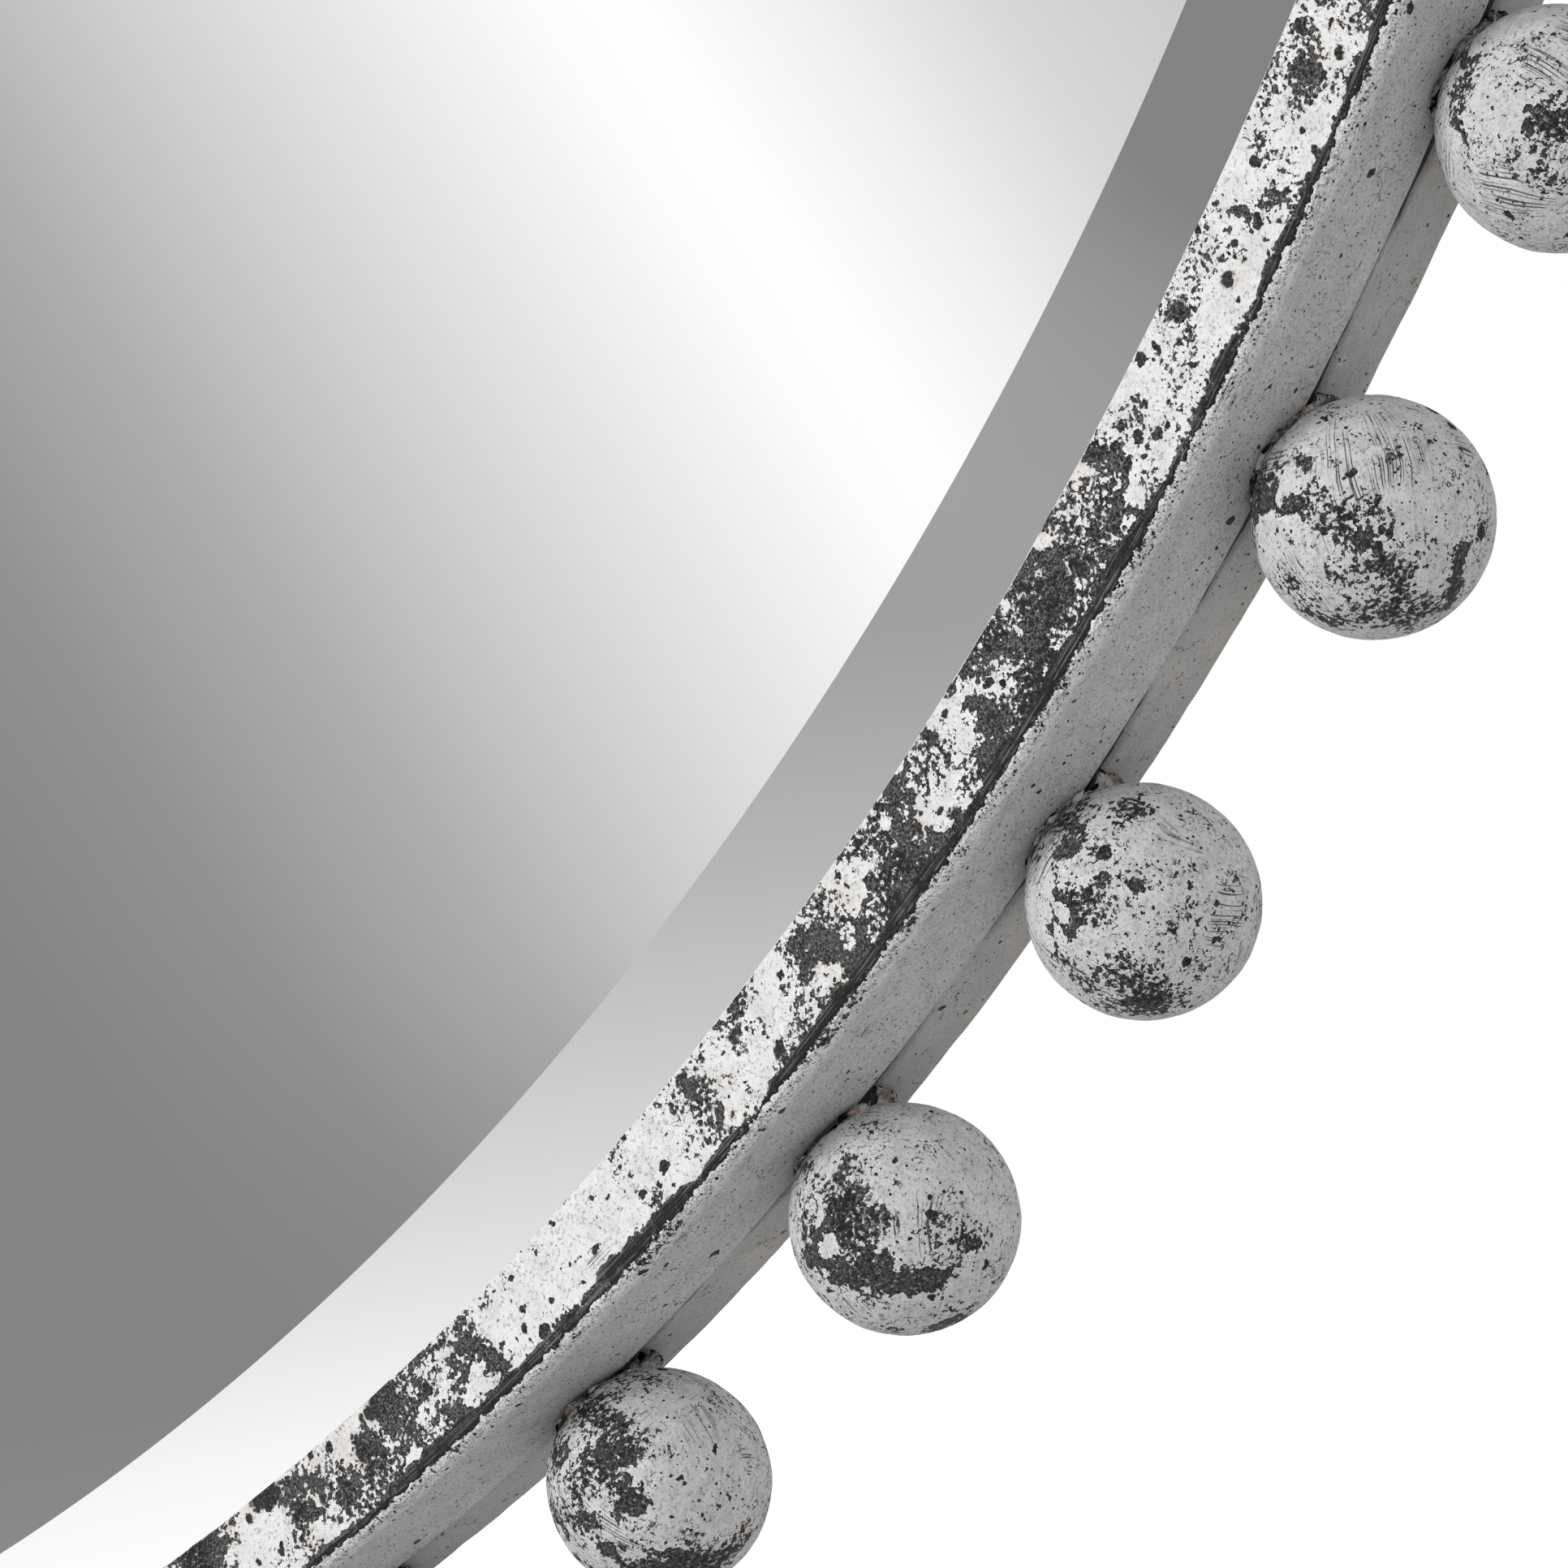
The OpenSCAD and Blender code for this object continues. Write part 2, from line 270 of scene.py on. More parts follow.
def buildWornPaint():
    # Paint worn through in patches: some edges crisp, others crumbled into fine flecks, with round pits.
    takes = {"position": "Vector", "wear": 0.0, "patchSize": 8.0, "crumble": 1.0, "pits": 0.4, "specks": 0.4,
             "dots": 0.1, "crackle": 0.0, "blots": 0.0}
    tree, given, result = newGroup("wornPaint", "ShaderNodeTree", takes, ["bare", "edge", "fringe", "deep"])
    place = given["position"]
    push = vectorCalc("SUBTRACT", noise(place, *paintFields["push"], output=1), (0.5, 0.5, 0.5))
    bent = vectorCalc("ADD", place, scaled(push, 2.2))
    coarse = around(noise(divided(bent, given["patchSize"]), 1.0, 3.0, 0.55))
    middle = around(noise(place, *paintFields["middle"]))
    fine = around(noise(place, *paintFields["fine"]))
    crumbs = fade(noise(place, *paintFields["crumbs"]), 0.42, 0.58)
    fineShare = crumbs * given["crumble"] * 1.15 + 0.16
    level = coarse + given["wear"] + middle * 0.38 + fine * fineShare
    patches = fade(level, -0.008, 0.010)

    cluster = fade(noise(place, *paintFields["cluster"]), 0.38, 0.62)
    pitShare = (cluster * 0.55 + 0.45) * given["pits"]
    pits, pitRims = pitLayer(bent, "pits", pitShare, fine * 0.30 + middle * 0.45)
    blots, blotRims = pitLayer(bent, "blots", given["blots"], fine * 0.16 + middle * 0.45)
    specks = pitLayer(place, "specks", cluster * given["specks"], fine * 0.7)[0]
    dots = pitLayer(place, "dots", given["dots"], fine * 0.3)[0]

    ridge = calc("ABSOLUTE", around(noise(place, *paintFields["ridge"])))
    flecks = fade(noise(place, *paintFields["flecks"]), 0.50, 0.56)
    wormZone = fade(noise(place, *paintFields["worms"]) + given["crackle"], 0.74, 0.84)
    worms = fade(ridge, 0.05, 0.025) * flecks * wormZone
    holes = larger(larger(pits, specks), larger(dots, worms))
    bare = larger(larger(patches, blots), holes)
    near = larger(fade(level, -0.05, -0.008), larger(pitRims, blotRims))
    feed(result["bare"], bare)
    # edge is bare metal right beside the paint, which takes a painted shadow of the paint's edge.
    feed(result["edge"], fade(level, 0.055, 0.0) * bare)
    # fringe is paint right beside bare metal and round pits; it takes a painted highlight and a tan tint.
    feed(result["fringe"], near * (1.0 - bare))
    feed(result["deep"], fade(level, 0.10, 0.24))
    return tree


def buildBrushMarks():
    # Bundles of fine scratches. stroke is the way along and across them, position only picks where they are.
    takes = {"stroke": "Vector", "position": "Vector", "length": 9.0, "width": 0.2, "reach": 9.0,
             "amount": 0.5, "flip": 1.0}
    tree, given, result = newGroup("brushMarks", "ShaderNodeTree", takes, ["marks"])
    stretch = combine(1.0 / given["length"], 1.0 / given["width"], 1.0)
    lines = noise(vectorCalc("MULTIPLY", given["stroke"], stretch), 1.0, 1.0, 0.5)
    zones = noise(divided(given["position"], given["reach"]), 1.0, 3.0, 0.6)
    zones = around(zones) * given["flip"] + 0.5
    start = 0.72 - given["amount"] * 0.2
    feed(result["marks"], fade(lines, 0.575, 0.625) * fade(zones, start - 0.02, start + 0.05))
    return tree


def buildHairCracks():
    takes = {"position": "Vector", "size": 9.0, "amount": 0.5}
    tree, given, result = newGroup("hairCracks", "ShaderNodeTree", takes, ["cracks"])
    field = around(noise(divided(given["position"], given["size"]), 1.0, 5.0, 0.62))
    line = fade(calc("ABSOLUTE", field), 0.0065, 0.0015)
    zones = noise(divided(given["position"], given["size"] * 0.7), 1.0, 2.0, 0.5)
    start = 0.70 - given["amount"] * 0.2
    feed(result["cracks"], line * fade(zones, start, start + 0.06))
    return tree


def buildHandling():
    # Cloudy marks of handling, as a tone round 0 and a gloss from 0 to 1.
    takes = {"position": "Vector", "size": 20.0}
    tree, given, result = newGroup("handling", "ShaderNodeTree", takes, ["tone", "gloss"])
    clouds = noise(divided(given["position"], given["size"]), 1.0, 5.0, 0.6)
    feed(result["tone"], around(clouds))
    feed(result["gloss"], clouds)
    return tree


wornPaint = buildWornPaint()
brushMarks = buildBrushMarks()
hairCracks = buildHairCracks()
handling = buildHandling()


def startMaterial(name):
    material = bpy.data.materials.new(name)
    material.use_nodes = True
    tree = material.node_tree
    tree.nodes.clear()
    shader = tree.nodes.new("ShaderNodeBsdfPrincipled")
    output = tree.nodes.new("ShaderNodeOutputMaterial")
    tree.links.new(shader.outputs["BSDF"], output.inputs["Surface"])
    place = Wire(tree.nodes.new("ShaderNodeTexCoord").outputs["Object"])
    return material, shader.inputs, scaled(place, 1 / mm)


def addBump(shader, height):
    bump = nodeFor("Bump", [height])
    feed(bump.inputs["Distance"], mm)
    feed(bump.inputs["Height"], height)
    feed(shader["Normal"], Wire(bump.outputs["Normal"]))


# The worn iron. All colours and amounts that a piece doesn't change come from here.
ironLook = {
    # shadePaint is the second paint; on the ring's side wall its darker grey is partly painted shade.
    "paint": grey(0.71), "shadePaint": grey(0.51), "dullPaint": grey(0.49, 0.01), "shade": 0.0,
    "tint": (0.60, 0.55, 0.50, 1.0), "tintAmount": 0.12, "tintSize": 11.0,
    "bare": grey(0.015), "bareLight": grey(0.115), "bareDeep": grey(0.014), "bareEdgeShadow": grey(0.012),
    "streak": grey(0.18), "flecks": 0.65, "fleck": grey(0.34), "fleckSize": 0.42,
    "rim": grey(0.86), "rimHighlightAmount": 0.5, "fringe": (0.42, 0.30, 0.23, 1.0), "fringeAmount": 0.45,
    "rust": (0.20, 0.145, 0.11, 1.0), "crack": (0.13, 0.11, 0.095, 1.0), "cracks": 0.3, "crackSize": 9.0,
    # The first colour on the next line is the near-black of painted shade in gaps and round the balls.
    "creviceShade": grey(0.02), "wear": 0.0, "patchSize": 8.0, "crumble": 1.0, "crackle": 0.0,
    "pits": 0.95, "specks": 0.75, "dots": 0.06, "blots": 0.0,
    "grain": 0.35, "grainSize": 0.40, "darkGrain": grey(0.16), "lightGrain": grey(0.86), "sandSize": 0.30,
    "mottleSize": 2.6, "clouds": 0.55, "cloud": grey(0.40, 0.006), "cloudSize": 3.8,
    "marks": 0.2, "markLength": 16.0, "markWidth": 0.22, "markReach": 9.0,
    "paintRoughness": 0.85, "bareRoughness": 0.6, "paintSpecular": 0.25, "bareSpecular": 0.10,
    "paintThickness": 0.24, "crackDepth": 0.08, "grainHeight": 0.10, "sandHeight": 0.08, "mottleHeight": 0.20,
}


def paintedIron(name, look, zones):
    # zones gives what changes over the piece: wear, pits, specks, dots, blots, shade (1 is the second paint:
    # on the ring's side wall a darker grey that is partly painted shade), rust, painted shade in gaps and
    # round the balls, lumps, a painted shadow on bare metal beside the corner strip, streaks on bare metal,
    # and strokes as (place, flip, share).
    material, shader, position = startMaterial(name)
    wearKinds = ("wear", "pits", "specks", "dots", "blots")
    zone = {"rust": 0.0, "lumps": 0.0, "stripShadow": 0.0, "streaks": 0.0, "strokes": []}
    zone.update({kind: look[kind] for kind in wearKinds})
    zone.update(zones(position))
    shade = zone.get("shade") or constant(position, look["shade"])
    worn = useGroup(wornPaint, position=position, patchSize=look["patchSize"], crumble=look["crumble"],
                    crackle=look["crackle"], **{kind: zone[kind] for kind in wearKinds})
    marks = 0.0
    for stroke, flip, share in zone["strokes"]:
        drawn = useGroup(brushMarks, stroke=stroke, position=position, flip=flip, length=look["markLength"],
                         width=look["markWidth"], reach=look["markReach"], amount=look["marks"])["marks"]
        marks = larger(drawn * share, marks)
    cracks = useGroup(hairCracks, position=position, size=look["crackSize"], amount=look["cracks"])["cracks"]
    mottle = noise(position, look["mottleSize"], 6.0, 0.65)
    grain = noise(position, look["grainSize"], 3.0, 0.65)
    tint = noise(position, look["tintSize"], 3.0, 0.5)
    sand = noise(position, look["sandSize"], 3.0, 0.72)
    clouds = fade(noise(position, look["cloudSize"], 4.0, 0.62), 0.42, 0.60)
    flecks = fade(noise(position, look["fleckSize"], 2.0, 0.6), 0.60, 0.66)

    paint = layered(mixColour(shade, look["paint"], look["shadePaint"]), [
        (clouds * shade * look["clouds"], look["cloud"]),
        (fade(mottle, 0.40, 0.68) * 0.5, look["dullPaint"]),
        (fade(tint, 0.52, 0.72) * look["tintAmount"], look["tint"]),
        (fade(grain, 0.54, 0.66) * look["grain"], look["darkGrain"]),
        (fade(grain, 0.42, 0.32) * (look["grain"] * 0.5), look["lightGrain"]),
        # Paint is lighter at its edges round bare patches and pits: partly a painted highlight.
        (worn["fringe"] * look["rimHighlightAmount"], look["rim"]),
        (worn["fringe"] * fade(tint, 0.46, 0.60) * look["fringeAmount"], look["fringe"]),
        (cracks * 0.75, look["crack"]),
        (zone["rust"], look["rust"]),
    ])
    metal = layered(mixColour(fade(sand, 0.45, 0.57), look["bare"], look["bareLight"]), [
        (fade(mottle, 0.42, 0.62) * 0.25, look["bareLight"]),
        (flecks * look["flecks"], look["fleck"]),
        (worn["deep"] * 0.85, look["bareDeep"]),
        # A painted shadow darkens bare metal right beside the paint.
        (worn["edge"] * 0.6, look["bareEdgeShadow"]),
        # A painted shadow on bare metal beside the corner strip, in the deepest bare tone.
        (zone["stripShadow"] * 0.85, look["bareDeep"]),
        (zone["streaks"] * 0.75, look["streak"]),
    ])
    bare = larger(worn["bare"], marks * 0.92)
    # A near-black mixed over the colour is painted shade in gaps and round the balls.
    feed(shader["Base Color"], mixColour(zone["creviceShade"], mixColour(bare, paint, metal), look["creviceShade"]))
    feed(shader["Roughness"], mixValue(bare, look["paintRoughness"], look["bareRoughness"]))
    feed(shader["Specular IOR Level"], mixValue(bare, look["paintSpecular"], look["bareSpecular"]))

    height = bare * -look["paintThickness"] + cracks * -look["crackDepth"] + grain * look["grainHeight"]
    height = height + sand * look["sandHeight"] + mottle * look["mottleHeight"]
    addBump(shader, height + zone["lumps"])
    return material


def ringPlace(position):
    # Radius from the mirror's axis, depth behind the face, and the way round, in millimetres and in radians.
    x, y, z = split(position)
    clock = calc("ARCTAN2", x, z)
    return calc("SQRT", x * x + z * z), y - faceY / mm, clock * (frameRadius / mm), clock


def wobble(position, size, reach, detail=4.0):
    return around(noise(position, size, detail, 0.6)) * reach


def nearBall(clock, start, full):
    # A fade along the ring. The balls stand in the middle of each step: swing is -1 at a ball, 1 between two.
    swing = calc("COSINE", clock * (360.0 / ballStep))
    return fade(swing, start, full)


def seamFiller(position, clock, length):
    # How far the filler closes the seam, in the rear hoop's mesh and in its paint: 0 open, 1 flush.
    return nearBall(clock, -0.2, 0.9) * fade(noise(position, length, 2.0), 0.40, 0.56)


def ballPlace(position):
    # Place from the middle of the nearest ball: outwards, round the ring, back to the wall, and its number.
    x, y, z = split(position)
    step = math.radians(ballStep)
    number = calc("FLOOR", calc("ARCTAN2", x, z) / step)
    middle = (number + 0.5) * step
    sine, cosine = calc("SINE", middle), calc("COSINE", middle)
    outward = x * sine + z * cosine - (hoopRadius + ballRadius) / mm
    return outward, x * cosine - z * sine, y - ballY / mm, number


def ballShadow(position):
    # Painted shade on the rings, close round the seat of each ball.
    distance = vectorCalc("LENGTH", combine(*ballPlace(position)[:3])) + wobble(position, 1.6, 1.2)
    return fade(distance, ballRadius / mm + 0.35, ballRadius / mm - 0.1)


def ringShadow(position):
    # Painted shade on balls and welds where they come up to the side wall of the front ring.
    radius, depth = ringPlace(position)[:2]
    gap = radius - frameRadius / mm + wobble(position, 1.8, 0.9)
    seamDepth = (seamY - faceY) / mm
    return fade(gap, 0.40, 0.10) * fade(depth, seamDepth + 0.4, seamDepth - 0.2)


frontRingLook = dict(ironLook, **{
    "faceWear": -0.035, "sideWear": -0.34, "cornerWear": 0.42, "stripWear": 0.19, "lipWear": 0.5,
    "wearDrift": 0.56, "driftSize": 60.0, "driftSeed": 13580.0, "lineInner": -2.1, "lineOuter": -0.85,
    "innerEdge": 0.35, "seamStart": 14.5, "grain": 0.62, "blots": 0.9, "sidePits": 0.12, "sideDots": 0.26,
    "sideSpecks": 0.25, "stripSpecks": 1.6, "stripDots": 0.8, "streakLength": 14.0, "streakWidth": 0.16,
})


def frontRingZones(position):
    look = frontRingLook
    radius, depth, along, clock = ringPlace(position)
    # Runs over the corner: 0 on the corner itself, negative on the face, positive on the side wall.
    across = radius - frameRadius / mm + depth
    ragged = across + wobble(position, 1.7, 2.9, 5.0)
    soft = across + wobble(position, 9.0, 4.5)
    inner, outer = look["lineInner"], look["lineOuter"]
    line = fade(soft, inner - 0.5, inner + 0.6) * fade(ragged, outer + 0.10, outer - 0.10)
    side = fade(across, outer - 0.1, outer + 0.5)
    strip = side * fade(ragged, 2.0, 0.4)
    fromInside = radius - (frameRadius - frontRingSize["faceWidth"]) / mm
    lip = fade(fromInside, look["innerEdge"] + 0.25, look["innerEdge"])
    seeded = vectorCalc("ADD", position, (0.0, look["driftSeed"], 0.0))
    drift = wobble(seeded, look["driftSize"], look["wearDrift"], 1.0)
    wear = mixValue(side, drift + look["faceWear"], look["sideWear"])
    wear = wear + line * look["cornerWear"] + strip * look["stripWear"] - lip * look["lipWear"]

    width = look["streakWidth"]
    streaks = noise(combine(along / look["streakLength"], radius / width, depth / width), 1.0, 2.0)
    streaks = fade(streaks, 0.50, 0.62) * fade(noise(position, 3.0, 3.0, 0.6), 0.36, 0.54)
    # A painted shadow darkens the outer edge of the corner line, beside the raised strip.
    shadowBesideStrip = fade(ragged, outer - 0.55, outer - 0.15) * line
    # The seam behind the ring's rear edge, near the balls, is darkened with painted shade.
    seam = fade(depth + wobble(position, 2.0, 0.3), look["seamStart"], look["seamStart"] + 0.2)
    seam = seam * nearBall(clock, 0.8, 0.0)
    return {
        # shade gives the side wall its darker paint, partly painted shade on the wall that faces away from
        # the light.
        "wear": wear, "shade": fade(across + wobble(position, 1.0, 1.6), 1.0, 2.8), "stripShadow": shadowBesideStrip,
        "streaks": streaks * (line - shadowBesideStrip),
        "pits": mixValue(side, look["pits"], look["sidePits"]), "blots": mixValue(side, look["blots"], 0.0),
        "specks": mixValue(side, look["specks"], mixValue(strip, look["sideSpecks"], look["stripSpecks"])),
        "dots": mixValue(strip, mixValue(side, look["dots"], look["sideDots"]), look["stripDots"]),
        # Painted shade at the seam and round the seat of each ball.
        "creviceShade": larger(seam, ballShadow(position) * 0.6) * 0.95,
        "lumps": wobble(position, 0.8, 1.6, 2.0) * strip,
        "strokes": [(combine(along, radius + depth, 0.0), 1.0, 1.0)],
    }


rearHoopLook = dict(ironLook, **{
    "paint": grey(0.44, 0.006), "shadePaint": (0.44, 0.42, 0.40, 1.0), "dullPaint": grey(0.36, 0.01),
    "tintAmount": 0.3, "pits": 0.10, "specks": 0.35, "dots": 0.10, "marks": 0.1, "wear": -0.34, "cracks": 0.8,
    "groove": 0.6, "hidden": 1.9, "hiddenByFiller": 1.55,
})


def rearHoopZones(position):
    look = rearHoopLook
    depth, clock = ringPlace(position)[1::2]
    rearDepth = (hoopBackY - faceY) / mm
    gap = depth + wobble(position, 1.6, 0.7) - (seamY - faceY) / mm
    # The ring's edge hides the start of the gap, and less of it where the filler is high.
    filler = seamFiller(position, clock, fillerLength / mm)
    reach = filler * -look["hiddenByFiller"] + look["hidden"] + nearBall(clock, 0.85, -0.6) * look["groove"]
    # The groove beside the ring's edge and its soft edge are painted shade, widest near the balls; so is the
    # band round each ball's seat.
    creviceShade = larger(fade(gap, reach + 0.15, reach), fade(gap, reach + 2.0, reach) * 0.45)
    creviceShade = larger(creviceShade * nearBall(clock, 0.95, 0.5), ballShadow(position) * 0.5)
    return {
        "shade": fade(depth + wobble(position, 9.0, 6.0), rearDepth - 5.0, rearDepth),
        "creviceShade": creviceShade * 0.95,
    }


ballLook = dict(ironLook, **{
    "paint": grey(0.59, -0.006), "shadePaint": grey(0.50), "dullPaint": grey(0.36), "bareLight": grey(0.085),
    "wear": -0.26, "rubbed": 0.23, "wearDrift": 0.35, "driftSize": 13.0, "patchSize": 5.5,
    "pits": 0.45, "specks": 0.85, "dots": 0.24, "crackle": 0.22, "cracks": 0.0, "grain": 0.6,
    "marks": 0.66, "markLength": 30.0, "markWidth": 0.21, "markReach": 10.0,
    "markTurn": 2.4, "uprightShift": 31.0, "levelShift": 17.0,
    "mottleSize": 1.9, "mottleHeight": 0.34, "grainHeight": 0.13,
})


def ballZones(position):
    look = ballLook
    radius = ballRadius / mm
    outward, sideways, back, number = ballPlace(position)
    belt = fade(calc("ABSOLUTE", sideways + wobble(position, 9.0, 12.0)), radius * 0.85, radius * 0.25)
    front = fade(back, radius * 0.45, -radius * 0.1)
    drift = wobble(position, look["driftSize"], look["wearDrift"], 1.5)
    dirt = fade(outward + wobble(position, 2.0, 2.4), -radius + 2.2, -radius + 0.5)

    # Each ball's scratches lean another way, and stop short of the poles that they run round.
    lean = number * look["markTurn"]
    sine, cosine = calc("SINE", lean), calc("COSINE", lean)
    leanOut = outward * cosine - sideways * sine
    leanSide = outward * sine + sideways * cosine
    clear = fade(calc("ABSOLUTE", leanSide), radius * 0.88, radius * 0.74)
    turn = calc("ARCTAN2", back, leanOut) * radius
    bend = wobble(position, 9.0, 3.0, 1.0)
    upright = combine(leanSide + number * look["uprightShift"], turn + bend, 0.0)
    level = combine(turn + number * look["levelShift"], leanSide + bend, 5.0)
    # Near the ring's side wall the ball takes painted shade; the rust near the hoop is its own.
    return {
        "wear": drift + belt * front * look["rubbed"] + look["wear"], "rust": dirt * 0.35,
        "creviceShade": ringShadow(position) * 0.8, "strokes": [(upright, 1.0, clear), (level, -1.0, clear)],
    }


weldLook = dict(ironLook, **{
    "paint": grey(0.46, 0.01), "shadePaint": grey(0.38, 0.02), "dullPaint": (0.32, 0.29, 0.26, 1.0),
    "rust": (0.22, 0.125, 0.075, 1.0), "rustAmount": 0.75, "rimHighlightAmount": 0.2, "wear": -0.24, "shade": 0.3,
    "patchSize": 3.0, "pits": 0.2, "specks": 0.5, "marks": 0.0, "grainHeight": 0.12,
})


def weldZones(position):
    rust = fade(noise(position, 1.6, 4.0, 0.6), 0.50, 0.62)
    # Near the ring's side wall the weld takes painted shade.
    return {"rust": rust * weldLook["rustAmount"], "creviceShade": ringShadow(position) * 0.3,
            "lumps": wobble(position, 1.2, 0.8, 3.0)}


chalkyWhiteIron = paintedIron("chalkyWhiteIron", frontRingLook, frontRingZones)
chalkyGreyIron = paintedIron("chalkyGreyIron", rearHoopLook, rearHoopZones)
chalkyBallIron = paintedIron("chalkyBallIron", ballLook, ballZones)
rustyWeld = paintedIron("rustyWeld", weldLook, weldZones)
print("painted iron: 4 materials")


silverLook = {"colour": (0.945, 0.955, 0.95, 1.0), "flaw": grey(0.6), "roughness": 0.006, "smear": 0.002,
              "smearSize": 60.0, "waveSize": 120.0, "wave": 0.02, "flaws": 0.25}


def silveredGlass(name, look):
    material, shader, position = startMaterial(name)
    smears = useGroup(handling, position=position, size=look["smearSize"])
    flaws = pitLayer(position, "flaws", look["flaws"], 0.0)[0]
    feed(shader["Base Color"], mixColour(flaws, look["colour"], look["flaw"]))
    feed(shader["Roughness"], smears["gloss"] * look["smear"] + look["roughness"])
    feed(shader["Metallic"], 1.0)
    addBump(shader, noise(position, look["waveSize"], 1.0) * look["wave"])
    return material


def plainFinish(name, look):
    material, shader, position = startMaterial(name)
    touched = useGroup(handling, position=position, size=look["cloudSize"])
    fibre = noise(position, look["grainSize"], 4.0, 0.65)
    turned = nodeFor("VectorRotate", [position])
    turned.rotation_type = "EULER_XYZ"
    feed(turned.inputs["Vector"], position)
    feed(turned.inputs["Rotation"], look["scratchTurn"])
    marks = useGroup(brushMarks, stroke=Wire(turned.outputs[0]), position=position,
                     amount=look["scratches"], length=look["scratchLength"], width=look["scratchWidth"],
                     reach=look["scratchReach"])["marks"]
    feed(shader["Base Color"], layered(mixColour(touched["tone"] * 2.0 + 0.5, look["dark"], look["light"]), [
        (fade(fibre, 0.55, 0.75) * look["dust"], look["dustColour"]),
        (marks * 0.5, look["scratchColour"]),
    ]))
    feed(shader["Roughness"], touched["gloss"] * look["roughnessSpread"] + look["roughness"])
    feed(shader["Metallic"], look["metallic"])
    addBump(shader, fibre * look["grainHeight"] - marks * look["grainHeight"])
    return material


boardLook = {
    "dark": grey(0.018), "light": grey(0.034), "dust": 0.35, "dustColour": grey(0.11, 0.03),
    "cloudSize": 45.0, "grainSize": 0.9, "grainHeight": 0.05, "roughness": 0.50, "roughnessSpread": 0.22,
    "metallic": 0.0, "scratches": 0.55, "scratchColour": grey(0.12, 0.05), "scratchTurn": (0.2, 0.5, 0.9),
    "scratchLength": 14.0, "scratchWidth": 0.3, "scratchReach": 16.0,
}
foamLook = dict(boardLook, **{
    "dark": grey(0.09), "light": grey(0.13), "grainSize": 0.5, "grainHeight": 0.12, "roughness": 0.85,
    "roughnessSpread": 0.1, "scratches": 0.0,
})
zincLook = dict(boardLook, **{
    "dark": grey(0.42, 0.01), "light": grey(0.60), "dust": 0.3, "dustColour": grey(0.34, 0.04),
    "cloudSize": 9.0, "grainSize": 1.2, "grainHeight": 0.015, "roughness": 0.30, "metallic": 1.0,
    "scratches": 0.6, "scratchColour": grey(0.75),
})
screwLook = dict(zincLook, **{"dark": grey(0.46, 0.05), "light": grey(0.64, 0.07), "cloudSize": 5.0})
nickelLook = dict(zincLook, **{
    "dark": (0.60, 0.57, 0.52, 1.0), "light": (0.74, 0.71, 0.66, 1.0), "cloudSize": 14.0, "roughness": 0.20,
})
rubberLook = dict(boardLook, **{
    "dark": grey(0.014), "light": grey(0.026), "dustColour": grey(0.09), "grainSize": 0.6,
    "grainHeight": 0.03, "roughness": 0.62, "roughnessSpread": 0.2, "scratches": 0.3,
})
silver = silveredGlass("silveredGlass", silverLook)
blackBoard = plainFinish("blackBoard", boardLook)
greyFoam = plainFinish("greyFoam", foamLook)
zincSteel = plainFinish("zincSteel", zincLook)
screwSteel = plainFinish("screwSteel", screwLook)
nickelSteel = plainFinish("nickelSteel", nickelLook)
blackRubber = plainFinish("blackRubber", rubberLook)
print("other finishes: 7 materials")


# Meshes.
def newObject(name, data):
    made = bpy.data.objects.new(name, data)
    scene.collection.objects.link(made)
    return made


def finishPiece(name, mesh, body, slot, *nodes):
    piece = newObject(name, mesh)
    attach(piece, body)
    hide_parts(*nodes)
    return piece


def asMesh(holder):
    seen = bpy.context.evaluated_depsgraph_get()
    return bpy.data.meshes.new_from_object(holder.evaluated_get(seen), depsgraph=seen)


def bakeTree(name, tree, values, points=None):
    # Runs a Geometry Nodes tree once and keeps the result as a plain mesh.
    holder = newObject(name + "Holder", points or bpy.data.meshes.new(name + "Points"))
    modifier = holder.modifiers.new("shape", "NODES")
    modifier.node_group = tree
    for item in tree.interface.items_tree:
        if item.in_out == "INPUT" and item.name in values:
            modifier[item.identifier] = values[item.name]
    mesh = asMesh(holder)
    holder.modifiers.remove(modifier)
    bpy.data.objects.remove(holder)
    mesh.name = name
    mesh.shade_smooth()
    return mesh


def geometryNode(tree, kind, output=0, **values):
    node = tree.nodes.new("GeometryNode" + kind)
    for label, value in values.items():
        feed(node.inputs[label], value)
    return Wire(node.outputs[output])


def moved(tree, geometry, way, reach):
    return geometryNode(tree, "SetPosition", Geometry=geometry, Offset=scaled(way, reach))


def relief(position, given, kinds):
    # Noise layers added up. Each kind has its own height and length among the given values.
    total = 0.0
    for kind in kinds:
        layer = noise(divided(position, given[kind + "Length"]), 1.0, 2.0)
        total = layer * given[kind + "Height"] + total
    return total


def lathe(name, profile, steps, place, way=1):
    # A closed shape from rings of points. place gives a point from its radius, height and turn.
    # way, 1 or -1, is how the first end's corners run.
    shape = bmesh.new()
    turns = [2 * math.pi * step / steps for step in range(steps)]
    rings = [[shape.verts.new(place(radius, height, turn)) for turn in turns] for radius, height in profile]
    for first, second in zip(rings, rings[1:]):
        for step in range(steps):
            following = (step + 1) % steps
            shape.faces.new((first[step], first[following], second[following], second[step]))
    shape.faces.new(rings[0][::way])
    shape.faces.new(rings[-1])
    bmesh.ops.recalc_face_normals(shape, faces=shape.faces)
    mesh = bpy.data.meshes.new(name)
    shape.to_mesh(mesh)
    shape.free()
    return mesh


